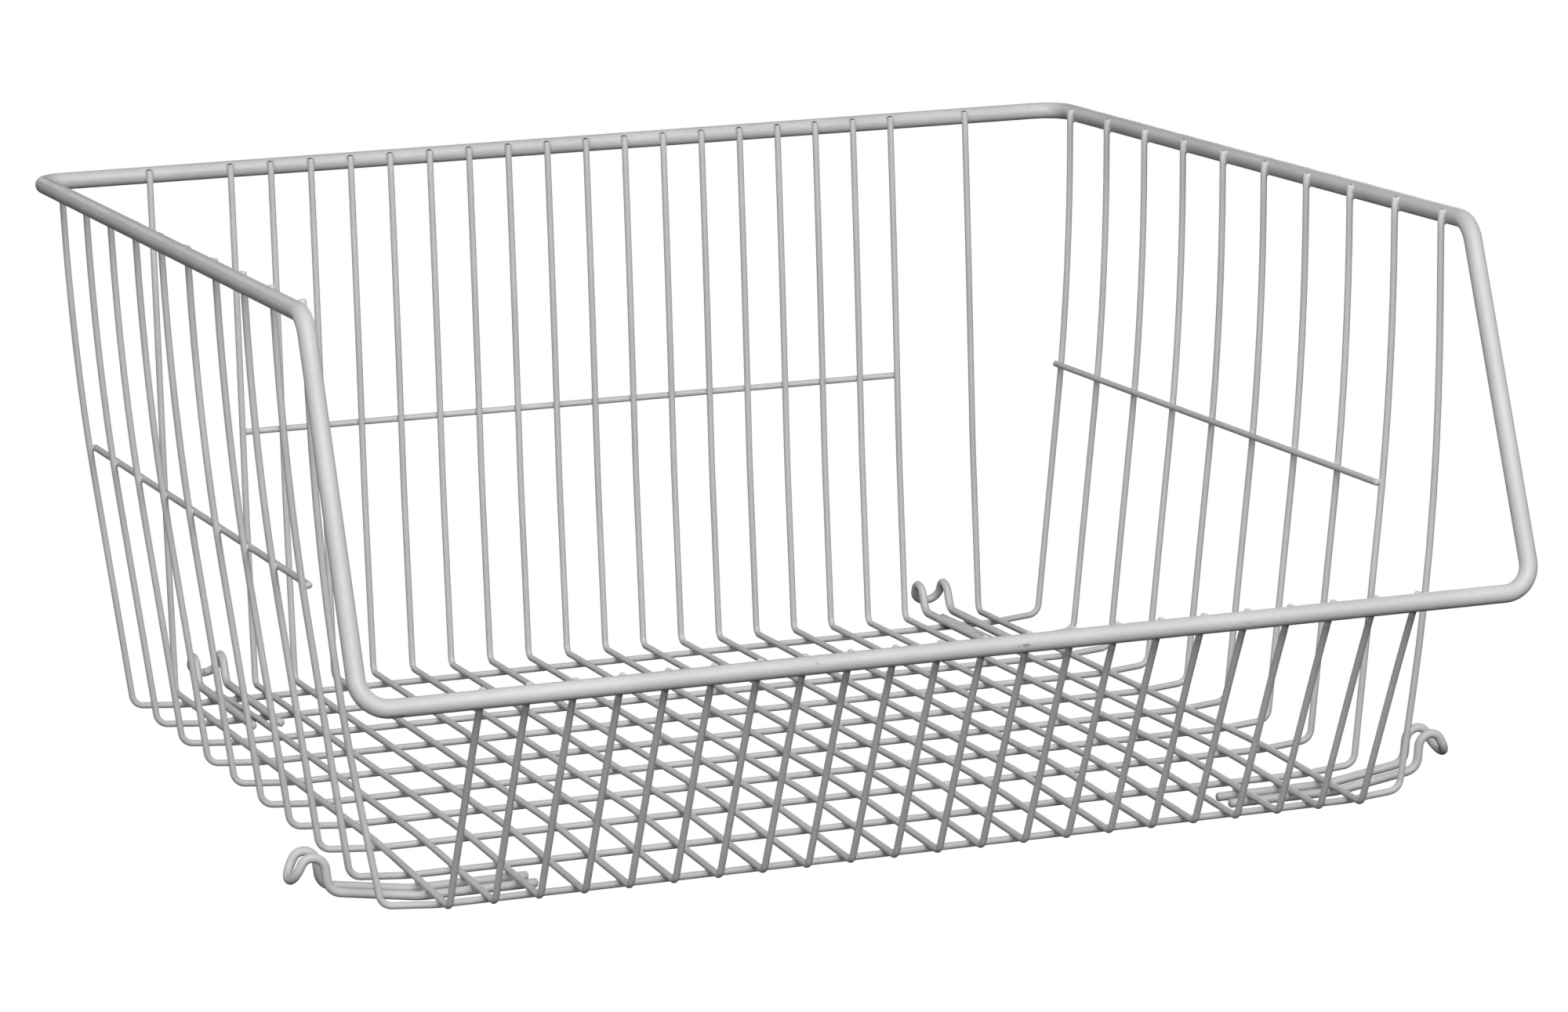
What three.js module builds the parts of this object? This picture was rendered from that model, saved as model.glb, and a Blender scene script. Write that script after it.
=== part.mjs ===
// Wire storage basket: a thick rim rod, a grid of thin welded wires, three stays and four stacking feet.
// Millimetres, +Z up, +X to the right and +Y to the back as seen from the open front.
import * as THREE from "three";

// Coated diameters.
const WIRE = 2.4;
const FOOT_WIRE = 3.0;
const RIM_ROD = 6.0;
// Space left between two pieces where a weld joins them.
const WELD_GAP = 0.2;

// The grid: long wires run front to back, cross wires run side to side.
const LONG_COUNT = 22;
const LONG_PITCH = 15;
const CROSS_COUNT = 10;
const CROSS_PITCH = 35;

// Floor, walls and rim, measured on the axes of the wires.
const SIDE_MARGIN = 19;
const SIDE_FLARE = 16.3;
const SIDE_LIFT = 1.6;
const BACK_MARGIN = 13;
const BACK_FLARE = 2.3;
const RIM_HEIGHT = 188.8;
const FRONT_MARGIN = 11;
const FLOOR_CROWN = 1;
const FRONT_DIP = 2.5;
const FRONT_ANGLE = 29;
const FRONT_LENGTH = 89.2;
const RIM_FRONT_TOP = -3;

// Bends.
const SIDE_BEND = 4.5;
const SIDE_CURVE = 800;
const SIDE_KNEE = 0.7;
const FRONT_KNEE = 0.5;
const BACK_BEND = 5;
const BACK_CURVE = 500;
const BACK_KNEE = 0.34;
const FRONT_BEND = 4;
const CROWN_BEND = 800;
const LIFT_BEND = 60;
const RIM_BACK_BEND = 11;
const RIM_TOP_BEND = 10;
const RIM_LOW_BEND = 10;

// How far wire ends pass the axis of the rim, and how far other free ends pass the last weld.
const WALL_END = 2;
const FRONT_END = 1.6;
const BACK_STAY_HEIGHT = 92.7;
const SIDE_STAY_HEIGHT = 94.8;
const STAY_END = 1.2;
const STUB_END = 6;

// Stacking feet.
const FOOT_SPREAD = 10.2;
const LEG_BEND = 30;
const BASE_BEND = 5;
const RISE_BEND = 4.5;
const DROP_BEND = 3.7;
const HOOK_DROP = 7.4;
const HOOK_SLOPE = 62;
const FRONT_FOOT_SETBACK = 16.5;
const FRONT_FOOT_INNER = 37;
const FRONT_FOOT_RISE = 4.6;
const FRONT_HOOK_TOP = 11.8;
const FRONT_HOOK_LEAN = 6;
const FRONT_HOOK_INSET = 2.3;
const BACK_FOOT_LENGTH = 86;
const BACK_LEG_END = 16;
const BACK_HOOK_TOP = 9.8;
const BACK_HOOK_LEAN = 22;
const BACK_HOOK_OUTSET = 4;

// Section and bend fineness.
const WIRE_SIDES = 8;
const RIM_SIDES = 12;
const BEND_STEP = 24;

const rad = THREE.MathUtils.degToRad;
const at = (x, y, z) => new THREE.Vector3(x, y, z);

// Derived places.
const wireOnWire = WIRE + WELD_GAP;
const rimOffset = (RIM_ROD + WIRE) / 2 + WELD_GAP;
const longX = (j) => (j - (LONG_COUNT + 1) / 2) * LONG_PITCH;
const crossY = (i) => FRONT_MARGIN + (CROSS_COUNT - i) * CROSS_PITCH;
const crossZ = -wireOnWire;
const floorHalf = longX(LONG_COUNT) + SIDE_MARGIN;
const wallX = floorHalf + SIDE_FLARE;
const rimX = wallX + rimOffset;
const floorBack = crossY(1) + BACK_MARGIN;
const wallY = floorBack + BACK_FLARE;
const rimBack = wallY + rimOffset;
const lean = rad(FRONT_ANGLE);
const crest = at(0, crossY(CROSS_COUNT - 2), FLOOR_CROWN);
const alongFront = (s) => at(0, -s * Math.sin(lean), s * Math.cos(lean) - FRONT_DIP);
const outFront = at(0, -Math.cos(lean), -Math.sin(lean));
const frontBar = alongFront(FRONT_LENGTH).addScaledVector(outFront, rimOffset);

// How much of the straight runs beside a corner its bend takes up.
function bendCut(corners, k) {
  if (!corners[k].r || !corners[k - 1] || !corners[k + 1]) return 0;
  const a = corners[k].p.clone().sub(corners[k - 1].p);
  const b = corners[k + 1].p.clone().sub(corners[k].p);
  return corners[k].r * Math.tan(a.angleTo(b) / 2);
}

// A path through the corners, each with its bend radius, as points close enough for a smooth bend.
function bentPath(corners) {
  const path = [];
  corners.forEach(({ p, r }, k) => {
    const before = corners[k - 1];
    const after = corners[k + 1];
    if (!before || !after || !r) {
      path.push(p.clone());
      return;
    }
    const a = p.clone().sub(before.p);
    const b = after.p.clone().sub(p);
    const turn = a.angleTo(b);
    if (turn < 1e-4) return;
    const wanted = bendCut(corners, k);
    const shareBefore = a.length() / (wanted + bendCut(corners, k - 1));
    const shareAfter = b.length() / (wanted + bendCut(corners, k + 1));
    const cut = wanted * Math.min(1, 0.998 * shareBefore, 0.998 * shareAfter);
    a.normalize();
    b.normalize();
    const radius = cut / Math.tan(turn / 2);
    const inward = b.clone().sub(a).normalize();
    const centre = p.clone().addScaledVector(inward, radius / Math.cos(turn / 2));
    const start = p.clone().addScaledVector(a, -cut).sub(centre);
    const axis = a.clone().cross(b).normalize();
    const steps = Math.max(3, Math.ceil(turn / rad(BEND_STEP)));
    for (let n = 0; n <= steps; n++) {
      path.push(start.clone().applyAxisAngle(axis, (turn * n) / steps).add(centre));
    }
  });
  return path;
}

// The height of a path that runs along Y, at one place.
function heightAt(path, y) {
  const k = path.findIndex((p, n) => n > 0 && (p.y - y) * (path[n - 1].y - y) <= 0);
  const a = path[k - 1];
  const b = path[k];
  return a.z + ((b.z - a.z) * (y - a.y)) / (b.y - a.y);
}

// Rings of a round section carried along a path: flat sides face along and across the given side direction.
function rings(path, diameter, sides, side) {
  const steps = path.slice(1).map((p, k) => p.clone().sub(path[k]).normalize());
  const u = side.clone().addScaledVector(steps[0], -side.dot(steps[0])).normalize();
  const v = steps[0].clone().cross(u);
  const reach = diameter / 2 / Math.cos(Math.PI / sides);
  let ring = [];
  for (let k = 0; k < sides; k++) {
    const turn = ((k + 0.5) * 2 * Math.PI) / sides;
    const off = u.clone().multiplyScalar(reach * Math.cos(turn)).addScaledVector(v, reach * Math.sin(turn));
    ring.push(path[0].clone().add(off));
  }
  const onto = (from, p, along, normal) =>
    from.map((q) => q.clone().addScaledVector(along, p.clone().sub(q).dot(normal) / along.dot(normal)));
  const made = [ring];
  for (let k = 1; k < path.length; k++) {
    const normal = steps[k - 1].clone().add(steps[k] || steps[k - 1]).normalize();
    ring = onto(ring, path[k], steps[k - 1], normal);
    made.push(ring);
  }
  return made;
}

// The rings of a half followed by those of its mirror image; the half ends on the mirror plane.
function mirrored(half, mirror, closed) {
  const far = half.map((ring) => ring.map(mirror)).reverse().slice(1);
  return half.concat(closed ? far.slice(0, -1) : far);
}

// One closed body from its rings, with flat ends unless the rings close on themselves.
function skin(all, closed) {
  const sides = all[0].length;
  const position = all.flat().flatMap((p) => [p.x, p.y, p.z]);
  const index = [];
  const last = closed ? all.length : all.length - 1;
  for (let n = 0; n < last; n++) {
    const a = n * sides;
    const b = ((n + 1) % all.length) * sides;
    for (let k = 0; k < sides; k++) {
      const m = (k + 1) % sides;
      index.push(a + k, a + m, b + m, a + k, b + m, b + k);
    }
  }
  if (!closed) {
    const end = (all.length - 1) * sides;
    for (let k = 1; k < sides - 1; k++) {
      index.push(0, k + 1, k, end, end + k, end + k + 1);
    }
  }
  const geometry = new THREE.BufferGeometry();
  geometry.setAttribute("position", new THREE.Float32BufferAttribute(position, 3));
  geometry.setIndex(index);
  geometry.computeVertexNormals();
  return geometry;
}

const basket = new THREE.Group();
basket.name = "wire_storage_basket";

function add(name, geometry) {
  const coating = new THREE.MeshStandardMaterial({ color: 0xc9cacb, roughness: 0.45, metalness: 0 });
  const mesh = new THREE.Mesh(geometry, coating);
  mesh.name = name;
  basket.add(mesh);
}

const two = (n) => String(n).padStart(2, "0");
const acrossX = (p) => at(-p.x, p.y, p.z);
const X = at(1, 0, 0);
const Y = at(0, 1, 0);
const Z = at(0, 0, 1);

// Rim: half the loop, from the middle of the back to the middle of the front bar.
const rimHalf = bentPath([
  { p: at(0, rimBack, RIM_HEIGHT) },
  { p: at(rimX, rimBack, RIM_HEIGHT), r: RIM_BACK_BEND },
  { p: at(rimX, RIM_FRONT_TOP, RIM_HEIGHT), r: RIM_TOP_BEND },
  { p: at(rimX, frontBar.y, frontBar.z), r: RIM_LOW_BEND },
  { p: at(0, frontBar.y, frontBar.z) },
]);
add("rim", skin(mirrored(rings(rimHalf, RIM_ROD, RIM_SIDES, Z), acrossX, true), true));

// Long wires: up the back wall to the rim, or starting on the floor where a back foot needs the room.
const floorLine = bentPath([{ p: at(0, floorBack, 0) }, { p: crest, r: CROWN_BEND }, { p: alongFront(0) }]);
const floorZ = (y) => heightAt(floorLine, y);
const backWall = [
  { p: at(0, wallY, RIM_HEIGHT + WALL_END) },
  { p: at(0, wallY, RIM_HEIGHT * BACK_KNEE), r: BACK_CURVE },
  { p: at(0, floorBack, 0), r: BACK_BEND },
];
const stubEnd = crossY(1) + STUB_END;
const stub = [{ p: at(0, stubEnd, floorZ(stubEnd)) }];
const frontWall = [
  { p: crest, r: CROWN_BEND },
  { p: alongFront(0), r: FRONT_BEND },
  { p: alongFront(FRONT_LENGTH + FRONT_END) },
];
for (let j = 1; j <= LONG_COUNT; j++) {
  const short = j === 2 || j === LONG_COUNT - 1;
  const path = bentPath([...(short ? stub : backWall), ...frontWall]);
  path.forEach((p) => p.setX(longX(j)));
  add("long_wire_" + two(j), skin(rings(path, WIRE, WIRE_SIDES, X)));
}

// Cross wires: from rim to rim under the long wires, rising at the ends. The front one has fuller sides.
const crossHalf = (y, knee) =>
  bentPath([
    { p: at(wallX, y, RIM_HEIGHT + WALL_END) },
    { p: at(wallX, y, RIM_HEIGHT * knee), r: SIDE_CURVE },
    { p: at(floorHalf, y, crossZ + floorZ(y) + SIDE_LIFT), r: SIDE_BEND },
    { p: at(longX(LONG_COUNT), y, crossZ + floorZ(y)), r: LIFT_BEND },
    { p: at(0, y, crossZ + floorZ(y)) },
  ]);
for (let i = 1; i <= CROSS_COUNT; i++) {
  const half = crossHalf(crossY(i), i === CROSS_COUNT ? FRONT_KNEE : SIDE_KNEE);
  add("cross_wire_" + two(i), skin(mirrored(rings(half, WIRE, WIRE_SIDES, Y), acrossX)));
}

// Stays: one behind the back wires, one inside each side wall.
const stayBack = wallY + wireOnWire;
const backEnd = longX(LONG_COUNT - 2) + STAY_END / 2;
const backStay = [at(-backEnd, stayBack, BACK_STAY_HEIGHT), at(backEnd, stayBack, BACK_STAY_HEIGHT)];
add("stay_back", skin(rings(backStay, WIRE, WIRE_SIDES, Y)));
const sidePath = crossHalf(crossY(1), SIDE_KNEE);
const above = sidePath.findLast((p) => p.z > SIDE_STAY_HEIGHT);
const below = sidePath.find((p) => p.z <= SIDE_STAY_HEIGHT);
const sideSlope = (above.x - below.x) / (above.z - below.z);
const sideX = below.x + sideSlope * (SIDE_STAY_HEIGHT - below.z);
for (const [name, s] of [["stay_left", -1], ["stay_right", 1]]) {
  const x = s * (sideX - wireOnWire * Math.hypot(1, sideSlope));
  const front = at(x, crossY(CROSS_COUNT - 1) - STAY_END, SIDE_STAY_HEIGHT);
  const back = at(x, crossY(1) + STAY_END, SIDE_STAY_HEIGHT);
  add(name, skin(rings([front, back], WIRE, WIRE_SIDES, X)));
}

// Half of a foot in its own frame: the leg runs along +X, and the hook has its highest point at the crest.
function footHalf(leg, baseZ, hook) {
  const b = FOOT_SPREAD / 2;
  const slope = rad(HOOK_SLOPE);
  const leaning = rad(hook.lean);
  const riseX = hook.crest - RISE_BEND * Math.tan((Math.PI / 2 - leaning) / 2);
  const baseX = riseX - (hook.top - baseZ) * Math.tan(leaning);
  const dropX = hook.crest + DROP_BEND * Math.tan(slope / 2);
  const tipX = dropX + HOOK_DROP / Math.tan(slope);
  const tipZ = hook.top - HOOK_DROP;
  const path = bentPath([
    { p: at(leg.start, b, leg.z) },
    { p: at(leg.end, b, leg.z), r: LEG_BEND },
    { p: at(baseX, b, baseZ), r: BASE_BEND },
    { p: at(riseX, b, hook.top), r: RISE_BEND },
    { p: at(dropX, b, hook.top), r: DROP_BEND },
    { p: at(tipX, b, tipZ), r: b },
    { p: at(tipX, 0, tipZ) },
  ]);
  return mirrored(rings(path, FOOT_WIRE, WIRE_SIDES, Y), (p) => at(p.x, -p.y, p.z));
}

// Front feet: legs under the outer long wires, hooks pointing sideways.
const frontFootY = crossY(CROSS_COUNT - 1) - FRONT_FOOT_SETBACK;
const frontLegZ = floorZ(frontFootY - FOOT_SPREAD / 2) - (WIRE + FOOT_WIRE) / 2 - WELD_GAP;
const outerLong = longX(LONG_COUNT);
const frontLeg = { start: outerLong - FRONT_FOOT_INNER, end: outerLong + WIRE, z: frontLegZ };
const frontHook = { crest: rimX - FRONT_HOOK_INSET, top: FRONT_HOOK_TOP, lean: FRONT_HOOK_LEAN };
const frontFoot = footHalf(frontLeg, frontLegZ + FRONT_FOOT_RISE, frontHook);
const place = (all, move) => skin(all.map((ring) => ring.map(move)));
add("foot_front_right", place(frontFoot, (p) => at(p.x, p.y + frontFootY, p.z)));
add("foot_front_left", place(frontFoot, (p) => at(-p.x, -p.y + frontFootY, p.z)));

// Back feet: legs on the rear cross wires on both sides of a short long wire, hooks pointing back.
const backLegZ = floorZ(crossY(2)) + crossZ + (WIRE + FOOT_WIRE) / 2 + WELD_GAP;
const backLeg = { start: rimBack - BACK_FOOT_LENGTH, end: rimBack - BACK_LEG_END, z: backLegZ };
const backHook = { crest: rimBack + BACK_HOOK_OUTSET, top: BACK_HOOK_TOP, lean: BACK_HOOK_LEAN };
const backFoot = footHalf(backLeg, backLegZ, backHook);
const backFootX = longX(LONG_COUNT - 1);
add("foot_back_right", place(backFoot, (p) => at(backFootX - p.y, p.x, p.z)));
add("foot_back_left", place(backFoot, (p) => at(-backFootX - p.y, p.x, p.z)));

// The origin is under the middle of the basket, at the level it stands on.
const box = new THREE.Box3().setFromObject(basket);
for (const mesh of basket.children) {
  mesh.geometry.translate(0, -(box.min.y + box.max.y) / 2, -box.min.z);
}

export default basket;
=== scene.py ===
"""Looks for the wire storage basket.

Round coated wires stand for the solids, with webs of coating at the welds, on a plain white stage.
"""
import math

import bpy
import numpy as np
from mathutils import Matrix, Vector


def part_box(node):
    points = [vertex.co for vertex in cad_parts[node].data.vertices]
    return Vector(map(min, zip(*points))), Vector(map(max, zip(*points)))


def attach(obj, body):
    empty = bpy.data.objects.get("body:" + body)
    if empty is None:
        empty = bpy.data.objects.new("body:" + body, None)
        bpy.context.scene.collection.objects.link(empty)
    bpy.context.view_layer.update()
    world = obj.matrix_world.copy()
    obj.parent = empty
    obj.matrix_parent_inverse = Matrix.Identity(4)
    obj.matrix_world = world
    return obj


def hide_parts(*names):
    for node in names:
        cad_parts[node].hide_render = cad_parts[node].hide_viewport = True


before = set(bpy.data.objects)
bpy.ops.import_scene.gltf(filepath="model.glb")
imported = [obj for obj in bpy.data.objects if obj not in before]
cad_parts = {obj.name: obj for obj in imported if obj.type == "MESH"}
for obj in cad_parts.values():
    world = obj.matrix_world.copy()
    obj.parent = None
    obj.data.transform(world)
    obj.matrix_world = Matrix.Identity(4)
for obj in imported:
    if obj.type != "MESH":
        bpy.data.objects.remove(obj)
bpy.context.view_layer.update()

BODY = "root"
MM = 0.001
LEFT = -1
RIGHT = 1

# Sizes as in the solids, in millimetres and degrees.
WIRE = 2.4
FOOT_WIRE = 3.0
RIM_ROD = 6.0
WELD_GAP = 0.2
LONG_COUNT = 22
LONG_PITCH = 15
CROSS_COUNT = 10
CROSS_PITCH = 35
SIDE_MARGIN = 19
SIDE_FLARE = 16.3
SIDE_LIFT = 1.6
BACK_MARGIN = 13
BACK_FLARE = 2.3
RIM_HEIGHT = 188.8
FRONT_MARGIN = 11
FLOOR_CROWN = 1
FRONT_DIP = 2.5
FRONT_ANGLE = 29
FRONT_LENGTH = 89.2
RIM_FRONT_TOP = -3
SIDE_BEND = 4.5
SIDE_CURVE = 800
SIDE_KNEE = 0.7
FRONT_KNEE = 0.5
BACK_CURVE = 500
BACK_KNEE = 0.34
FRONT_BEND = 4
CROWN_BEND = 800
LIFT_BEND = 60
RIM_TOP_BEND = 10
RIM_LOW_BEND = 10
BACK_STAY_HEIGHT = 92.7
SIDE_STAY_HEIGHT = 94.8
STAY_END = 1.2
FOOT_SPREAD = 10.2
LEG_BEND = 30
BASE_BEND = 5
RISE_BEND = 4.5
DROP_BEND = 3.7
HOOK_DROP = 7.4
HOOK_SLOPE = 62
FRONT_FOOT_SETBACK = 16.5
FRONT_FOOT_INNER = 37
FRONT_FOOT_RISE = 4.6
FRONT_HOOK_TOP = 11.8
FRONT_HOOK_LEAN = 6
FRONT_HOOK_INSET = 2.3
BACK_LEG_END = 16
BACK_HOOK_TOP = 9.8
BACK_HOOK_LEAN = 22
BACK_HOOK_OUTSET = 4

# Sizes that differ a little from the solids: how thick the thin wires look, two bends, and the back feet.
THIN = 2.28
BACK_BEND = 3.2
RIM_BACK_BEND = {RIGHT: 11, LEFT: 8}
BACK_FOOT_LENGTH = 77.6

# Welds: how far wires are sunk into each other, and over what length they lean towards the rim and the bar.
LONG_SINK = 0.2
CROSS_SINK = 0.3
STAY_SINK = 0.5
RIM_SINK = 0.9
RIM_SINK_FADE = 75
BAR_SINK = 0.7
BAR_SINK_FADE = 40

# How far the wire ends pass the axis of the rim. On the left each cross wire passes it a little further
# than the one behind it.
BACK_TIP = 2.3
RIGHT_TIP = 1.9
LEFT_TIP = -0.05
LEFT_TIP_STEP = 0.25
FRONT_TIP = 1.5

# How deep the domes at the wire ends are, in radii.
ROUND_DOME = 1.0
WIRE_DOME = 0.5
FOOT_DOME = 0.6

# Webs of coating: the radius of the ball that rolls between two wires, and how much painted shade darkens
# the middle.
WEB_FLOOR = 0.4
WEB_STAY = 0.45
WEB_RIM = 0.8
WEB_FOOT = 0.6
# Painted shade: the share of the darker colour in the middle of each web, where shade falls between the
# wires.
CREVICE_SHADE = 0.05

# A pale cream patch on the front wires, partly a cream tint and partly painted light in the bar's shadow:
# distances down the front wires from the middle of the bar, and how much.
CREAM_PAINTED_LIGHT_DOWN = (6.6, 7.1, 8.2, 9)
CREAM_PAINTED_LIGHT_SHARE = (0, 1, 1, 0)

# The two short wires: how far each passes the rear cross wire, how far its end leans to the side, and over
# what length.
STUBS = {2: (3.8, -2.4, 60), 21: (9.8, -1.3, 120)}

# How many outer long wires lie on a front foot, and how many cross wires carry a back foot.
FOOT_LONGS = 3
FOOT_CROSSES = 2

# A bead of coating between the second short wire and the foot beside it.
BEAD_START = 1
BEAD_LENGTH = 36
BEAD_POINTS = 8
BEAD_RADIUS = 0.8
BEAD_GRIP = 0.4

# The butt weld of the rim, on the back to the left of the middle.
SEAM_X = -11.8
SEAM_OFFSETS = (-1.3, -0.8, -0.45, -0.15, 0, 0.15, 0.45, 0.8, 1.3)
SEAM_SWELL = (0, 0.03, 0.09, 0.0, -0.06, 0.0, 0.09, 0.03, 0)

# Colours of the coating, of the specks and scuffs on it, of the cream patch with painted light and of the
# painted shade.
COAT_LIGHT = (0.66, 0.66, 0.66)
COAT_DULL = (0.60, 0.60, 0.60)
# Pale cream colour: partly a tint, partly painted light where the bar shades the front wires.
COAT_CREAM_PAINTED_LIGHT = (0.98, 0.96, 0.88)
# Painted shade colour for the crevices of the webs.
COAT_CREVICE_SHADE = (0.42, 0.42, 0.42)
SPECK = (0.14, 0.14, 0.14)

# Noise in the coating: the scale and detail of each, the band that counts, and what the band turns into.
CLOUDS = (22, 2)
CLOUD_BAND = (0.35, 0.65)
CLOUD_SHARE = (0, 1)
MOTTLE = (420, 3)
MOTTLE_BAND = (0.5, 0.75)
MOTTLE_SHARE = (0, 0.5)
SPECKS = (650, 1)
SPECK_BAND = (0.8, 0.84)
SPECK_SHARE = (0, 0.7)
GLOSS = (160, 3)
GLOSS_BAND = (0.3, 0.7)
ROUGHNESS = (0.36, 0.5)
SKIN = (700, 2)
SKIN_STRENGTH = 0.12
SKIN_DEPTH = 0.0002
COAT_IOR = 1.5

# Scuffs on the bar: the centre, half sizes and strength of each. All fade outwards and are broken up by a
# grain.
SCUFFS = (
    ((-186.5, -49.3, 71.5), (4.8, 3, 0.9), 0.7),
    ((18.4, -50.1, 73.4), (3.5, 3, 0.7), 0.7),
    ((95.0, -50.1, 73.2), (5.2, 3, 0.5), 0.3),
    ((-50.5, -49.8, 74.4), (1.6, 3, 0.6), 0.6),
)
SCUFF_BAND = (0.3, 1)
SCUFF_SHARE = (1, 0)
GRAIN = (900, 2)
GRAIN_BAND = (0.42, 0.6)

# The sockets of a mix node that carry colours.
MIX_COLOURS = (6, 7)
MIX_RESULT = 2

# Fineness of the meshes.
WIRE_SIDES = 20
FOOT_SIDES = 24
RIM_SIDES = 36
STRETCH = 9
DOME_STEPS = 5
WEB_SIDES = 24
WEB_STEPS = 6

# Bends: the widest step, the fewest steps, the share of a straight run that bends may take up, the smallest
# turn that is bent, and a guard against dividing by zero.
BEND_STEP = math.radians(7)
BEND_STEPS = 8
BEND_FILL = 0.998
LEAST_TURN = 1e-4
TINY = 1e-9

# A wire that starts steeper than this gets its first ring turned from the X axis.
UPRIGHT = 0.9

# The search for the webs: how far along a wire, outwards and up it goes, and in how many rounds.
FAR = 30.0
WEB_REACH = 12.0
WEB_RISE = 6.0
HALVINGS = 34
MEET_ROUNDS = 5

# How deep the edges of a web reach into the wires.
SKIRT = 0.25

# The stage and its dim surroundings, in metres.
WHITE = (1, 1, 1, 1)
BLACK = (0, 0, 0, 1)
FLOOR_SIZE = 12
FLOOR_DROP = 0.0005
WORLD_STRENGTH = 0.12

# Soft lights: where each stands, how wide it is, and its power.
AIM = Vector((0, 0, 0.09))
LIGHTS = {
    "key": ((-0.25, -2.15, 1.65), 2.7, 74),
    "left": ((-2.1, -1.35, 0.45), 1.2, 8),
    "right": ((2.2, -0.8, 1.3), 1.2, 4),
    "back": ((-0.35, 2.7, 1.1), 0.9, 3),
    "back_left": ((-1.9, 2.2, 0.6), 1.2, 7),
    "back_right": ((1.7, 2.3, 0.6), 1.2, 9),
}

# The photograph's camera: its place in millimetres of the construction frame, its axes and its lens.
CAMERA_AT = (-692.9, -1804.296, 474.254)
CAMERA_RIGHT = (0.93864983, -0.34380137, -0.02714977)
CAMERA_DOWN = (-0.08845463, -0.1639122, -0.98250118)
CAMERA_FORWARD = (0.33333508, 0.92462609, -0.18426699)
SENSOR_WIDTH = 36
LENS = 141.697
LENS_SHIFT_X = 0.000145
LENS_SHIFT_Y = 0.00057


def vec(x, y, z):
    return np.array([x, y, z], float)


def unit(v):
    return v / np.linalg.norm(v, axis=-1, keepdims=True)


def turned(v, axis, angle):
    along = axis * (axis @ v) * (1 - math.cos(angle))
    return v * math.cos(angle) + np.cross(axis, v) * math.sin(angle) + along


def turn_between(a, b):
    return math.acos(np.clip(a @ b, -1, 1))


def bend_cut(corners, k):
    """How much of the straight runs beside a corner its bend takes up."""
    if k in (0, len(corners) - 1) or not corners[k][1]:
        return 0
    a = unit(corners[k][0] - corners[k - 1][0])
    b = unit(corners[k + 1][0] - corners[k][0])
    return corners[k][1] * math.tan(turn_between(a, b) / 2)


def bent(corners):
    """Points along a path through corners, each with its bend radius."""
    path = []
    for k, (p, r) in enumerate(corners):
        if k in (0, len(corners) - 1) or not r:
            path.append(p)
            continue
        a = p - corners[k - 1][0]
        b = corners[k + 1][0] - p
        wanted = bend_cut(corners, k)
        room_a = np.linalg.norm(a) / max(wanted + bend_cut(corners, k - 1), TINY)
        room_b = np.linalg.norm(b) / max(wanted + bend_cut(corners, k + 1), TINY)
        cut = wanted * min(1, BEND_FILL * room_a, BEND_FILL * room_b)
        a = unit(a)
        b = unit(b)
        turn = turn_between(a, b)
        if turn < LEAST_TURN:
            continue
        radius = cut / math.tan(turn / 2)
        centre = p + unit(b - a) * radius / math.cos(turn / 2)
        start = p - a * cut - centre
        axis = unit(np.cross(a, b))
        steps = max(BEND_STEPS, math.ceil(turn / BEND_STEP))
        path += [turned(start, axis, turn * n / steps) + centre for n in range(steps + 1)]
    return path


def spaced(path):
    """The same path with points on its straight stretches."""
    out = [path[0]]
    for a, b in zip(path, path[1:]):
        parts = max(1, math.ceil(np.linalg.norm(b - a) / STRETCH))
        out += [a + (b - a) * n / parts for n in range(1, parts + 1)]
    return np.array(out)


def height_at(path, y):
    """The height of a path where it passes a depth."""
    for a, b in zip(path, path[1:]):
        if (a[1] - y) * (b[1] - y) <= 0:
            return a[2] + (b[2] - a[2]) * (y - a[1]) / (b[1] - a[1])


def faded(distance, reach):
    """1 at distance 0, falling smoothly to 0 at the reach."""
    return np.clip(1 - distance / reach, 0, 1) ** 2


# Derived places, as in the solids.
wire_on_wire = WIRE + WELD_GAP
rim_offset = (RIM_ROD + WIRE) / 2 + WELD_GAP
cross_z = -wire_on_wire
longs = range(1, LONG_COUNT + 1)
crosses = range(1, CROSS_COUNT + 1)


def long_x(j):
    return (j - (LONG_COUNT + 1) / 2) * LONG_PITCH


def cross_y(i):
    return FRONT_MARGIN + (CROSS_COUNT - i) * CROSS_PITCH


def long_node(j):
    return f"long_wire_{j:02d}"


def cross_node(i):
    return f"cross_wire_{i:02d}"


floor_half = long_x(LONG_COUNT) + SIDE_MARGIN
wall_x = floor_half + SIDE_FLARE
rim_x = wall_x + rim_offset
floor_back = cross_y(1) + BACK_MARGIN
wall_y = floor_back + BACK_FLARE
rim_back = wall_y + rim_offset
front_lean = math.radians(FRONT_ANGLE)
up_front = vec(0, -math.sin(front_lean), math.cos(front_lean))
out_front = vec(0, -math.cos(front_lean), -math.sin(front_lean))
front_foot = vec(0, 0, -FRONT_DIP)
front_top = front_foot + up_front * FRONT_LENGTH
front_bar = front_top + out_front * rim_offset
crest = vec(0, cross_y(CROSS_COUNT - 2), FLOOR_CROWN)
floor_line = bent([(vec(0, floor_back, 0), 0), (crest, CROWN_BEND), (front_foot, 0)])


def floor_z(y):
    return height_at(floor_line, y)


# From the construction frame to the row's frame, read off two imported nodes.
wire_low, wire_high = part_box("cross_wire_01")
stay_low, stay_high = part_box("stay_back")
SHIFT = vec(
    0,
    (wire_low.y + wire_high.y) / 2 / MM - cross_y(1),
    (stay_low.z + stay_high.z) / 2 / MM - BACK_STAY_HEIGHT,
)

# Each wire: its path, its radius, whether it closes on itself, and how round its ends are.
wires = {}


def wire(node, path, diameter, closed=False, dome=ROUND_DOME):
    wires[node] = {"path": np.array(path), "r": diameter / 2, "closed": closed, "dome": dome}


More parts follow.
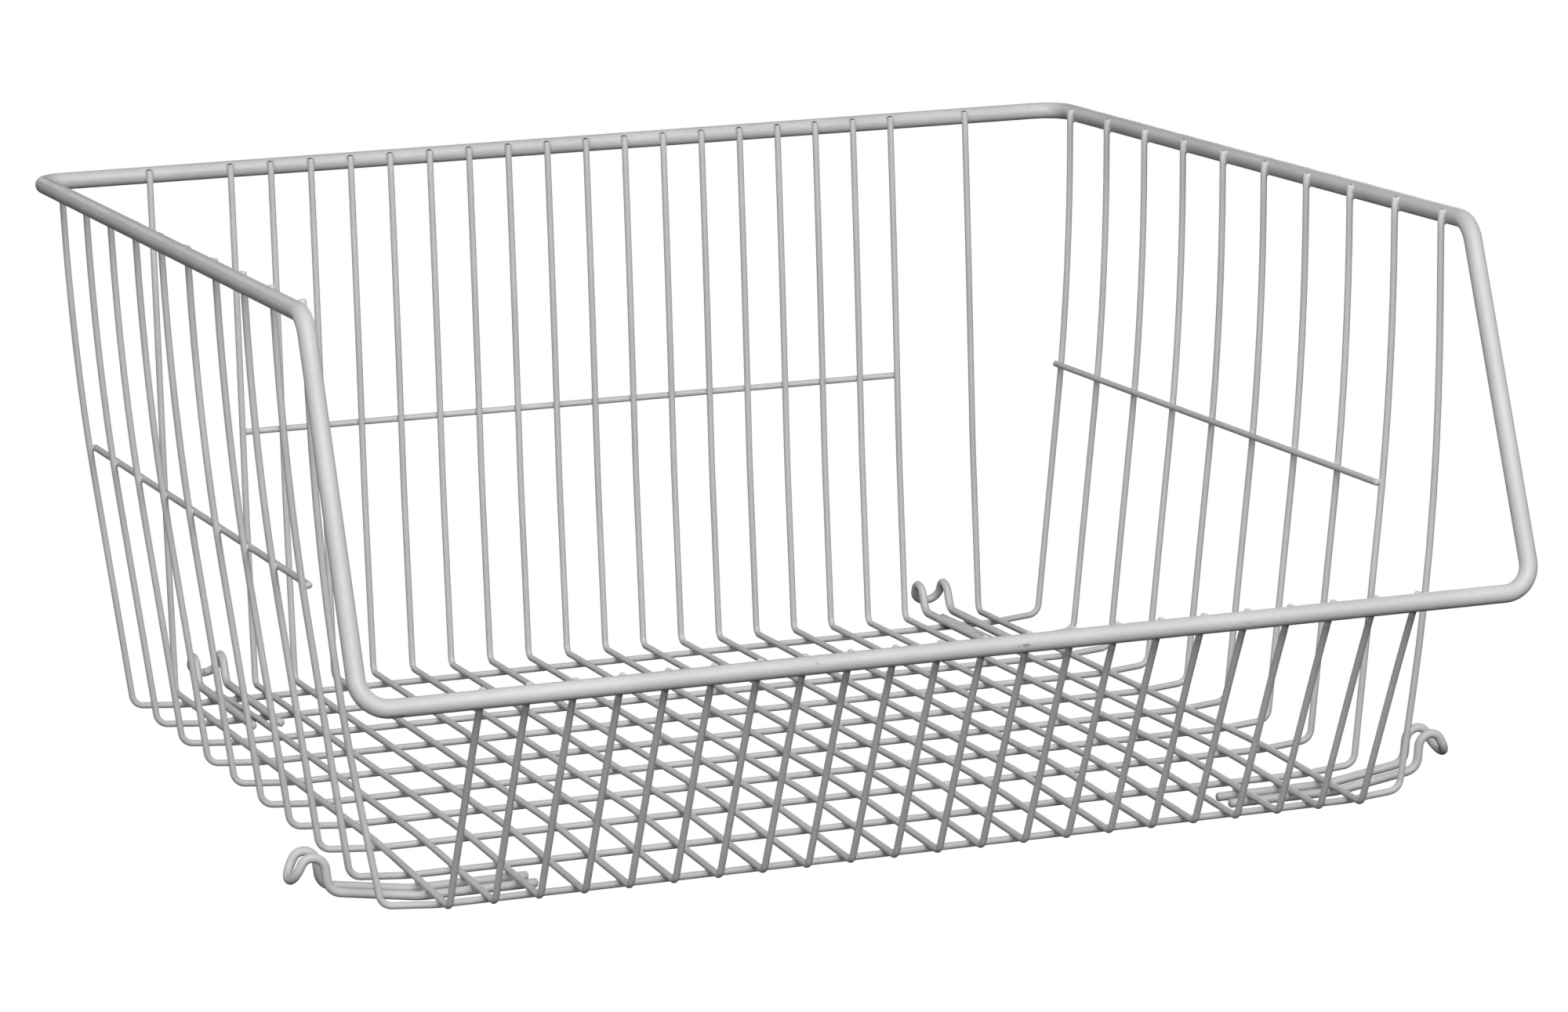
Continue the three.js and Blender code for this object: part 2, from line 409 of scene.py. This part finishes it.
# Rim.
def rim_half(side):
    return bent([
        (vec(0, rim_back, RIM_HEIGHT), 0),
        (vec(side * rim_x, rim_back, RIM_HEIGHT), RIM_BACK_BEND[side]),
        (vec(side * rim_x, RIM_FRONT_TOP, RIM_HEIGHT), RIM_TOP_BEND),
        (vec(side * rim_x, front_bar[1], front_bar[2]), RIM_LOW_BEND),
        (vec(0, front_bar[1], front_bar[2]), 0),
    ])


seam = [vec(SEAM_X + s, rim_back, RIM_HEIGHT) for s in SEAM_OFFSETS]
right_half = rim_half(RIGHT)
left_half = rim_half(LEFT)[::-1]
rim_loop = spaced(right_half + left_half[1:-1] + seam + right_half[:1])[:-1]
wire("rim", rim_loop, RIM_ROD, closed=True)


# Long wires.
def near_rim(path):
    """How much each point of a path is drawn to the rim."""
    return faded(np.maximum(RIM_HEIGHT - path[:, 2], 0), RIM_SINK_FADE)


back_wall = [
    (vec(0, wall_y, RIM_HEIGHT + BACK_TIP), 0),
    (vec(0, wall_y, RIM_HEIGHT * BACK_KNEE), BACK_CURVE),
    (vec(0, floor_back, 0), BACK_BEND),
]
# The front wires get points at the edges of the cream patch with painted light under the bar.
front_wall = [
    (crest, CROWN_BEND),
    (front_foot, FRONT_BEND),
    *[(front_foot + up_front * (FRONT_LENGTH - down), 0) for down in CREAM_PAINTED_LIGHT_DOWN[::-1]],
    (front_foot + up_front * (FRONT_LENGTH + FRONT_TIP), 0),
]
for j in longs:
    start = back_wall
    if j in STUBS:
        passes, leans, lean_fade = STUBS[j]
        stub_y = cross_y(1) + passes
        start = [(vec(0, stub_y, floor_z(stub_y)), 0)]
    path = spaced(bent(start + front_wall))
    if j in STUBS:
        path[:, 0] += leans * faded(path[0, 1] - path[:, 1], lean_fade)
    to_rim = near_rim(path) * (path[:, 1] > floor_back / 2)
    to_bar = np.maximum(FRONT_LENGTH - (path - front_foot) @ up_front, 0)
    to_bar = faded(to_bar, BAR_SINK_FADE) * (path[:, 1] < 0)
    path = path + to_rim[:, None] * vec(0, RIM_SINK, 0) + to_bar[:, None] * out_front * BAR_SINK
    wire(long_node(j), path + vec(long_x(j), 0, -LONG_SINK), THIN, dome=WIRE_DOME)


# Cross wires.
def cross_half(y, knee, tip):
    return bent([
        (vec(wall_x, y, RIM_HEIGHT + tip), 0),
        (vec(wall_x, y, RIM_HEIGHT * knee), SIDE_CURVE),
        (vec(floor_half, y, cross_z + floor_z(y) + SIDE_LIFT), SIDE_BEND),
        (vec(long_x(LONG_COUNT), y, cross_z + floor_z(y)), LIFT_BEND),
        (vec(0, y, cross_z + floor_z(y)), 0),
    ])


for i in crosses:
    knee = FRONT_KNEE if i == CROSS_COUNT else SIDE_KNEE
    right = cross_half(cross_y(i), knee, RIGHT_TIP)
    left_tip = LEFT_TIP + LEFT_TIP_STEP * i
    left = [p * vec(-1, 1, 1) for p in cross_half(cross_y(i), knee, left_tip)]
    path = spaced(right + left[-2::-1])
    path[:, 0] += np.sign(path[:, 0]) * near_rim(path) * RIM_SINK
    wire(cross_node(i), path + vec(0, 0, CROSS_SINK), THIN, dome=WIRE_DOME)

# Stays.
back_end = long_x(LONG_COUNT - 2) + STAY_END / 2
stay_y = wall_y + wire_on_wire - STAY_SINK
stay = [vec(-back_end, stay_y, BACK_STAY_HEIGHT), vec(back_end, stay_y, BACK_STAY_HEIGHT)]
wire("stay_back", spaced(stay), THIN)
side_path = cross_half(cross_y(1), SIDE_KNEE, 0)
above = [p for p in side_path if p[2] > SIDE_STAY_HEIGHT][-1]
below = [p for p in side_path if p[2] <= SIDE_STAY_HEIGHT][0]
side_slope = (above[0] - below[0]) / (above[2] - below[2])
side_x = below[0] + side_slope * (SIDE_STAY_HEIGHT - below[2])
stay_x = side_x - (wire_on_wire - STAY_SINK) * math.hypot(1, side_slope)
for node, side in (("stay_left", LEFT), ("stay_right", RIGHT)):
    front = vec(side * stay_x, cross_y(CROSS_COUNT - 1) - STAY_END, SIDE_STAY_HEIGHT)
    back = vec(side * stay_x, cross_y(1) + STAY_END, SIDE_STAY_HEIGHT)
    wire(node, spaced([front, back]), THIN)


# Feet.
def foot_path(leg_start, leg_end, leg_z, base_z, crest_x, top, lean_angle):
    """A hairpin in its own frame, with its legs along +X and its hook at the far end."""
    b = FOOT_SPREAD / 2
    slope = math.radians(HOOK_SLOPE)
    leaning = math.radians(lean_angle)
    rise_x = crest_x - RISE_BEND * math.tan((math.pi / 2 - leaning) / 2)
    base_x = rise_x - (top - base_z) * math.tan(leaning)
    drop_x = crest_x + DROP_BEND * math.tan(slope / 2)
    tip_x = drop_x + HOOK_DROP / math.tan(slope)
    tip_z = top - HOOK_DROP
    half = bent([
        (vec(leg_start, b, leg_z), 0),
        (vec(leg_end, b, leg_z), LEG_BEND),
        (vec(base_x, b, base_z), BASE_BEND),
        (vec(rise_x, b, top), RISE_BEND),
        (vec(drop_x, b, top), DROP_BEND),
        (vec(tip_x, b, tip_z), b),
        (vec(tip_x, 0, tip_z), 0),
    ])
    other_half = [p * vec(1, -1, 1) for p in half[-2::-1]]
    return spaced(half + other_half)


front_y = cross_y(CROSS_COUNT - 1) - FRONT_FOOT_SETBACK
front_leg_z = floor_z(front_y - FOOT_SPREAD / 2) - (WIRE + FOOT_WIRE) / 2 - WELD_GAP
outer = long_x(LONG_COUNT)
foot = foot_path(
    outer - FRONT_FOOT_INNER, outer + WIRE, front_leg_z, front_leg_z + FRONT_FOOT_RISE,
    rim_x - FRONT_HOOK_INSET, FRONT_HOOK_TOP, FRONT_HOOK_LEAN,
)
wire("foot_front_right", foot + vec(0, front_y, 0), FOOT_WIRE, dome=FOOT_DOME)
wire("foot_front_left", foot * vec(-1, -1, 1) + vec(0, front_y, 0), FOOT_WIRE, dome=FOOT_DOME)
back_leg_z = floor_z(cross_y(2)) + cross_z + (WIRE + FOOT_WIRE) / 2 + WELD_GAP
foot = foot_path(
    rim_back - BACK_FOOT_LENGTH, rim_back - BACK_LEG_END, back_leg_z, back_leg_z,
    rim_back + BACK_HOOK_OUTSET, BACK_HOOK_TOP, BACK_HOOK_LEAN,
)
foot = np.stack([-foot[:, 1], foot[:, 0], foot[:, 2]], axis=1)
foot_x = long_x(LONG_COUNT - 1)
wire("foot_back_right", foot + vec(foot_x, 0, 0), FOOT_WIRE, dome=FOOT_DOME)
wire("foot_back_left", foot + vec(-foot_x, 0, 0), FOOT_WIRE, dome=FOOT_DOME)

for w in wires.values():
    w["path"] = w["path"] + SHIFT


# Material.
def coated_material():
    material = bpy.data.materials.new("coated_wire")
    material.use_nodes = True
    tree = material.node_tree
    shader = tree.nodes["Principled BSDF"]
    shader.inputs["IOR"].default_value = COAT_IOR
    link = tree.links.new
    place = tree.nodes.new("ShaderNodeTexCoord").outputs["Object"]

    def noise(scale, detail):
        node = tree.nodes.new("ShaderNodeTexNoise")
        node.inputs["Scale"].default_value = scale
        node.inputs["Detail"].default_value = detail
        link(place, node.inputs["Vector"])
        return node.outputs["Fac"]

    def ramp(value, band, share):
        node = tree.nodes.new("ShaderNodeMapRange")
        node.interpolation_type = "SMOOTHSTEP"
        for name, number in zip(("From Min", "From Max", "To Min", "To Max"), (*band, *share)):
            node.inputs[name].default_value = number
        link(value, node.inputs["Value"])
        return node.outputs["Result"]

    def mixed(factor, a, b):
        node = tree.nodes.new("ShaderNodeMix")
        node.data_type = "RGBA"
        link(factor, node.inputs["Factor"])
        for index, value in zip(MIX_COLOURS, (a, b)):
            if isinstance(value, tuple):
                node.inputs[index].default_value = (*value, 1)
            else:
                link(value, node.inputs[index])
        return node.outputs[MIX_RESULT]

    def times(a, b):
        node = tree.nodes.new("ShaderNodeMath")
        node.operation = "MULTIPLY"
        link(a, node.inputs[0])
        link(b, node.inputs[1])
        return node.outputs[0]

    def vector_math(operation, value, other=None):
        node = tree.nodes.new("ShaderNodeVectorMath")
        node.operation = operation
        link(value, node.inputs[0])
        if other is not None:
            node.inputs[1].default_value = other
        return node.outputs["Value" if operation == "LENGTH" else "Vector"]

    def attribute(name):
        node = tree.nodes.new("ShaderNodeAttribute")
        node.attribute_name = name
        return node.outputs["Fac"]

    colour = mixed(ramp(noise(*CLOUDS), CLOUD_BAND, CLOUD_SHARE), COAT_LIGHT, COAT_DULL)
    colour = mixed(ramp(noise(*MOTTLE), MOTTLE_BAND, MOTTLE_SHARE), colour, COAT_DULL)
    # A pale cream patch under the bar, partly a tint and partly painted light in the bar's shadow.
    colour = mixed(attribute("cream_painted_light"), colour, COAT_CREAM_PAINTED_LIGHT)
    # Painted shade in the crevices of the webs between welded wires.
    colour = mixed(attribute("crevice_shade"), colour, COAT_CREVICE_SHADE)
    colour = mixed(ramp(noise(*SPECKS), SPECK_BAND, SPECK_SHARE), colour, SPECK)
    for centre, half_sizes, strength in SCUFFS:
        away = vector_math("SUBTRACT", place, Vector(vec(*centre) + SHIFT) * MM)
        away = vector_math("MULTIPLY", away, Vector([1 / (s * MM) for s in half_sizes]))
        inside = ramp(vector_math("LENGTH", away), SCUFF_BAND, SCUFF_SHARE)
        grain = ramp(noise(*GRAIN), GRAIN_BAND, (0, strength))
        colour = mixed(times(inside, grain), colour, SPECK)
    link(colour, shader.inputs["Base Color"])
    link(ramp(noise(*GLOSS), GLOSS_BAND, ROUGHNESS), shader.inputs["Roughness"])
    bump = tree.nodes.new("ShaderNodeBump")
    bump.inputs["Strength"].default_value = SKIN_STRENGTH
    bump.inputs["Distance"].default_value = SKIN_DEPTH
    link(noise(*SKIN), bump.inputs["Height"])
    link(bump.outputs["Normal"], shader.inputs["Normal"])
    return material


coated = coated_material()


# Meshes.
def make_piece(name, points, faces, normals=None):
    mesh = bpy.data.meshes.new(name)
    mesh.from_pydata([tuple(p) for p in np.asarray(points) * MM], [], faces)
    mesh.polygons.foreach_set("use_smooth", [True] * len(mesh.polygons))
    mesh.materials.append(coated)
    if normals is not None:
        mesh.normals_split_custom_set_from_vertices([tuple(n) for n in normals])
    piece = bpy.data.objects.new(name, mesh)
    bpy.context.scene.collection.objects.link(piece)
    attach(piece, BODY)
    return piece


def paint(piece, name, values):
    layer = piece.data.attributes.new(name, "FLOAT", "POINT")
    layer.data.foreach_set("value", np.asarray(values, np.float32))


def tube(path, radius, sides, closed=False, dome=ROUND_DOME, swell=None):
    """Points and faces of a round wire; open ends are domes that end at the path's ends."""
    if closed:
        to_next = unit(np.roll(path, -1, axis=0) - path)
        tangents = unit(to_next + np.roll(to_next, 1, axis=0))
    else:
        steps = unit(np.diff(path, axis=0))
        tangents = unit(np.vstack([steps[:1], steps[1:] + steps[:-1], steps[-1:]]))
    radii = np.full(len(path), radius) + (0 if swell is None else swell)
    centres, along, radii = list(path), list(tangents), list(radii)
    if not closed:
        turns = [math.pi / 2 * k / DOME_STEPS for k in range(1, DOME_STEPS)]
        depth = dome * radius
        for end, sign in ((0, 1), (-1, -1)):
            tip, t = centres[end].copy(), along[end]
            rows = [(tip + sign * t * depth * (1 - math.sin(a)), radius * math.cos(a)) for a in turns]
            centres[end] = tip + sign * t * depth
            for c, r in rows:
                index = 0 if end == 0 else len(centres)
                centres.insert(index, c)
                along.insert(index, t)
                radii.insert(index, r)
    ring_turns = np.arange(sides) * 2 * math.pi / sides
    u = vec(0, 0, 1) if abs(along[0][2]) < UPRIGHT else vec(1, 0, 0)
    points = []
    for c, t, r in zip(centres, along, radii):
        u = unit(u - t * (u @ t))
        v = np.cross(t, u)
        points += [c + r * (math.cos(a) * u + math.sin(a) * v) for a in ring_turns]
    rings = len(centres)
    faces = []
    for n in range(rings if closed else rings - 1):
        a, b = n * sides, (n + 1) % rings * sides
        for k in range(sides):
            m = (k + 1) % sides
            faces.append((a + k, a + m, b + m, b + k))
    if not closed:
        first, last = len(points), len(points) + 1
        points += [path[0], path[-1]]
        end = (rings - 1) * sides
        for k in range(sides):
            m = (k + 1) % sides
            faces += [(first, m, k), (last, end + k, end + m)]
    return np.array(points), faces


def seam_swell(path):
    """How much thicker the rim is along its butt weld."""
    from_seam = path[:, 0] - SEAM_X
    swell = np.interp(from_seam, SEAM_OFFSETS, SEAM_SWELL)
    return np.where((path[:, 1] > 0) & (abs(from_seam) < SEAM_OFFSETS[-1]), swell, 0)


SIDES = {RIM_ROD: RIM_SIDES, FOOT_WIRE: FOOT_SIDES, THIN: WIRE_SIDES}
for node, w in wires.items():
    swell = seam_swell(w["path"]) if node == "rim" else None
    points, faces = tube(w["path"], w["r"], SIDES[w["r"] * 2], w["closed"], w["dome"], swell)
    piece = make_piece("coated_" + node, points, faces)
    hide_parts(node)
    if node.startswith("long"):
        # Paint the cream patch, partly painted light, just under the bar on the front wires.
        below_bar = (SHIFT + front_top - points) @ up_front
        paint(piece, "cream_painted_light", np.interp(below_bar, CREAM_PAINTED_LIGHT_DOWN, CREAM_PAINTED_LIGHT_SHARE) * (points[:, 1] < SHIFT[1]))


# Webs of coating where two wires are welded: the surface that a small ball rolls between them. Near a web
# each wire is taken as a straight run: a point on its axis, its direction, the lengths to both ends, and
# its radius.
def nearest_run(w, p):
    """The run of a wire at the point of its axis that is closest to p."""
    path = np.vstack([w["path"], w["path"][:1]]) if w["closed"] else w["path"]
    a, d = path[:-1], np.diff(path, axis=0)
    size = np.linalg.norm(d, axis=1)
    t = np.clip(np.einsum("ij,ij->i", p - a, d) / size**2, 0, 1)
    foot = a + d * t[:, None]
    k = int(np.argmin(np.linalg.norm(foot - p, axis=1)))
    before = after = FAR
    if not w["closed"]:
        passed = size[:k].sum() + t[k] * size[k]
        before = min(passed - w["r"] * w["dome"], FAR)
        after = min(size.sum() - passed - w["r"] * w["dome"], FAR)
    return foot[k], d[k] / size[k], -before, after, w["r"]


def meeting(first, second, place):
    """The runs of two wires where they come closest near a place."""
    p = place
    for _ in range(MEET_ROUNDS):
        run = nearest_run(wires[first], p)
        other = nearest_run(wires[second], run[0])
        p = other[0]
    return run, other


def gap_to(c, run):
    """Distance from points to the surfaces of runs, and the nearest points of their axes."""
    p, d, low, high, r = run
    s = np.clip(np.einsum("wki,wi->wk", c - p[:, None], d), low[:, None], high[:, None])
    q = p[:, None] + s[..., None] * d[:, None]
    return np.linalg.norm(c - q, axis=2) - r[:, None], q


def ball_places(run_a, run_b, ball):
    """Where the ball's middle is when it touches both wires, all the way round each weld."""
    pa, da, ra = run_a[0], run_a[1], run_a[-1]
    pb, rb = run_b[0], run_b[-1]
    normal = unit(pb - pa)
    start = pa + normal * (np.linalg.norm(pb - pa, axis=1) + ra - rb)[:, None] / 2
    u = unit(da - normal * np.einsum("wi,wi->w", da, normal)[:, None])
    v = np.cross(normal, u)
    turns = np.arange(WEB_SIDES) * 2 * math.pi / WEB_SIDES
    e = np.cos(turns)[None, :, None] * u[:, None] + np.sin(turns)[None, :, None] * v[:, None]

    def level(t):
        """The points at distance t that are as far from one wire as from the other."""
        low = np.full(t.shape, -WEB_RISE)
        high = np.full(t.shape, WEB_RISE)
        for _ in range(HALVINGS):
            h = (low + high) / 2
            c = start[:, None] + t[..., None] * e + h[..., None] * normal[:, None]
            more = gap_to(c, run_a)[0] > gap_to(c, run_b)[0]
            high = np.where(more, h, high)
            low = np.where(more, low, h)
        return c

    near = np.zeros(e.shape[:2])
    far = np.full(e.shape[:2], WEB_REACH)
    for _ in range(HALVINGS):
        t = (near + far) / 2
        c = level(t)
        wide = gap_to(c, run_a)[0] > ball
        far = np.where(wide, t, far)
        near = np.where(wide, near, t)
    return c, normal


def webs(name, pairs, ball):
    """One piece with a web for each pair of wires that meet near a place."""
    meetings = [meeting(*pair) for pair in pairs]
    run_a, run_b = [[np.array(column) for column in zip(*runs)] for runs in zip(*meetings)]
    c, normal = ball_places(run_a, run_b, ball)
    to_a = unit(gap_to(c, run_a)[1] - c)
    to_b = unit(gap_to(c, run_b)[1] - c)
    angle = np.arccos(np.clip(np.einsum("wki,wki->wk", to_a, to_b), -1, 1))[..., None]
    rows, looks = [c + to_a * (ball + SKIRT)], [-to_a]
    for n in range(WEB_STEPS + 1):
        f = n / WEB_STEPS
        way = (np.sin((1 - f) * angle) * to_a + np.sin(f * angle) * to_b) / np.sin(angle)
        rows.append(c + way * ball)
        looks.append(-way)
    rows.append(c + to_b * (ball + SKIRT))
    looks.append(-to_b)
    points, normals, faces, crevice_shade_share = [], [], [], []
    height = len(rows)
    for w in range(len(pairs)):
        base = len(points)
        for n in range(height):
            points += list(rows[n][w])
            normals += list(looks[n][w])
            crevice_shade_share += [math.sin(math.pi * min(max(n - 1, 0), WEB_STEPS) / WEB_STEPS) ** 2] * WEB_SIDES
        points += [run_a[0][w], run_b[0][w]]
        normals += [-normal[w], normal[w]]
        crevice_shade_share += [0, 0]
        top = base + (height - 1) * WEB_SIDES
        low_centre = top + WEB_SIDES
        high_centre = low_centre + 1
        for k in range(WEB_SIDES):
            m = (k + 1) % WEB_SIDES
            for n in range(height - 1):
                a, b = base + n * WEB_SIDES, base + (n + 1) * WEB_SIDES
                faces.append((a + k, a + m, b + m, b + k))
            faces += [(low_centre, base + m, base + k), (high_centre, top + k, top + m)]
    piece = make_piece(name, points, faces, normals)
    # Paint the crevice shade: none at a web's edges, darkest in its middle, as painted shade between the
    # wires.
    paint(piece, "crevice_shade", CREVICE_SHADE * np.array(crevice_shade_share))


def at(x, y, z):
    """A place of the construction frame in the row's frame."""
    return vec(x, y, z) + SHIFT


tall = [j for j in longs if j not in STUBS]
webs("web_floor", [
    (cross_node(i), long_node(j), at(long_x(j), cross_y(i), floor_z(cross_y(i))))
    for i in crosses for j in longs
], WEB_FLOOR)
webs("web_back_stay", [
    ("stay_back", long_node(j), at(long_x(j), wall_y, BACK_STAY_HEIGHT)) for j in tall
], WEB_STAY)
webs("web_rim_back", [
    ("rim", long_node(j), at(long_x(j), wall_y, RIM_HEIGHT)) for j in tall
], WEB_RIM)
webs("web_rim_front", [
    ("rim", long_node(j), at(long_x(j), front_bar[1], front_bar[2])) for j in longs
], WEB_RIM)
legs = (-FOOT_SPREAD / 2, FOOT_SPREAD / 2)
for side_name, side, from_outside in (("left", LEFT, longs), ("right", RIGHT, longs[::-1])):
    webs("web_rim_" + side_name, [
        ("rim", cross_node(i), at(side * wall_x, cross_y(i), RIM_HEIGHT)) for i in crosses
    ], WEB_RIM)
    webs("web_stay_" + side_name, [
        ("stay_" + side_name, cross_node(i), at(side * side_x, cross_y(i), SIDE_STAY_HEIGHT))
        for i in crosses if i < CROSS_COUNT
    ], WEB_STAY)
    webs("web_foot_front_" + side_name, [
        ("foot_front_" + side_name, long_node(j), at(long_x(j), front_y + leg, floor_z(front_y)))
        for j in from_outside[:FOOT_LONGS] for leg in legs
    ], WEB_FOOT)
    webs("web_foot_back_" + side_name, [
        ("foot_back_" + side_name, cross_node(i), at(side * foot_x + leg, cross_y(i), cross_z))
        for i in crosses[:FOOT_CROSSES] for leg in legs
    ], WEB_FOOT)

# The bead, from the short wire's left side to the leg's right side.
short = wires[long_node(LONG_COUNT - 1)]["path"]
bead_y = short[0, 1] - np.linspace(BEAD_START, BEAD_LENGTH, BEAD_POINTS)
wire_side = np.interp(-bead_y, -short[:, 1], short[:, 0]) - THIN / 2
wire_height = np.interp(-bead_y, -short[:, 1], short[:, 2])
leg_side = foot_x - (FOOT_SPREAD - FOOT_WIRE) / 2
bead_x = (wire_side + leg_side) / 2
bead_z = (wire_height + back_leg_z + SHIFT[2]) / 2
bead_swell = (wire_side - leg_side) / 2 + BEAD_GRIP - BEAD_RADIUS
bead_swell[[0, -1]] = 0
points, faces = tube(np.stack([bead_x, bead_y, bead_z], axis=1), BEAD_RADIUS, WIRE_SIDES, swell=bead_swell)
make_piece("web_stub_right", points, faces)

# Stage: a floor that is white to the camera and black to all other rays, so that it throws no light up
# under the wires.
half = FLOOR_SIZE / 2
floor_corners = [(-half, -half, 0), (half, -half, 0), (half, half, 0), (-half, half, 0)]
floor_mesh = bpy.data.meshes.new("floor")
floor_mesh.from_pydata(floor_corners, [], [(0, 1, 2, 3)])
white = bpy.data.materials.new("white_floor")
white.use_nodes = True
white_shader = white.node_tree.nodes["Principled BSDF"]
white_shader.inputs["Base Color"].default_value = BLACK
white_shader.inputs["Specular IOR Level"].default_value = 0
white_shader.inputs["Emission Color"].default_value = WHITE
floor_rays = white.node_tree.nodes.new("ShaderNodeLightPath")
white.node_tree.links.new(floor_rays.outputs["Is Camera Ray"], white_shader.inputs["Emission Strength"])
floor_mesh.materials.append(white)
floor = bpy.data.objects.new("floor", floor_mesh)
floor.location.z = -FLOOR_DROP
floor.visible_shadow = False
bpy.context.scene.collection.objects.link(floor)

# World: white to the camera, a dim studio to all other rays.
world = bpy.data.worlds.new("studio")
bpy.context.scene.world = world
world.use_nodes = True
tree = world.node_tree
dim = tree.nodes["Background"]
dim.inputs["Color"].default_value = WHITE
dim.inputs["Strength"].default_value = WORLD_STRENGTH
seen = tree.nodes.new("ShaderNodeBackground")
seen.inputs["Color"].default_value = WHITE
rays = tree.nodes.new("ShaderNodeLightPath")
pick = tree.nodes.new("ShaderNodeMixShader")
tree.links.new(rays.outputs["Is Camera Ray"], pick.inputs[0])
tree.links.new(dim.outputs[0], pick.inputs[1])
tree.links.new(seen.outputs[0], pick.inputs[2])
tree.links.new(pick.outputs[0], tree.nodes["World Output"].inputs["Surface"])

for name, (where, width, power) in LIGHTS.items():
    light = bpy.data.lights.new(name, "AREA")
    light.shape = "DISK"
    light.size = width
    light.energy = power
    lamp = bpy.data.objects.new(name, light)
    lamp.location = where
    lamp.rotation_euler = (AIM - Vector(where)).to_track_quat("-Z", "Y").to_euler()
    lamp.visible_camera = False
    bpy.context.scene.collection.objects.link(lamp)

camera = bpy.data.cameras.new("camera")
camera.sensor_width = SENSOR_WIDTH
camera.lens = LENS
camera.shift_x = LENS_SHIFT_X
camera.shift_y = LENS_SHIFT_Y
view = bpy.data.objects.new("camera", camera)
axes = Matrix((CAMERA_RIGHT, [-c for c in CAMERA_DOWN], [-c for c in CAMERA_FORWARD])).transposed()
view.matrix_world = Matrix.Translation(at(*CAMERA_AT) * MM) @ axes.to_4x4()
bpy.context.scene.collection.objects.link(view)
bpy.context.scene.camera = view
bpy.context.scene.view_settings.view_transform = "Standard"
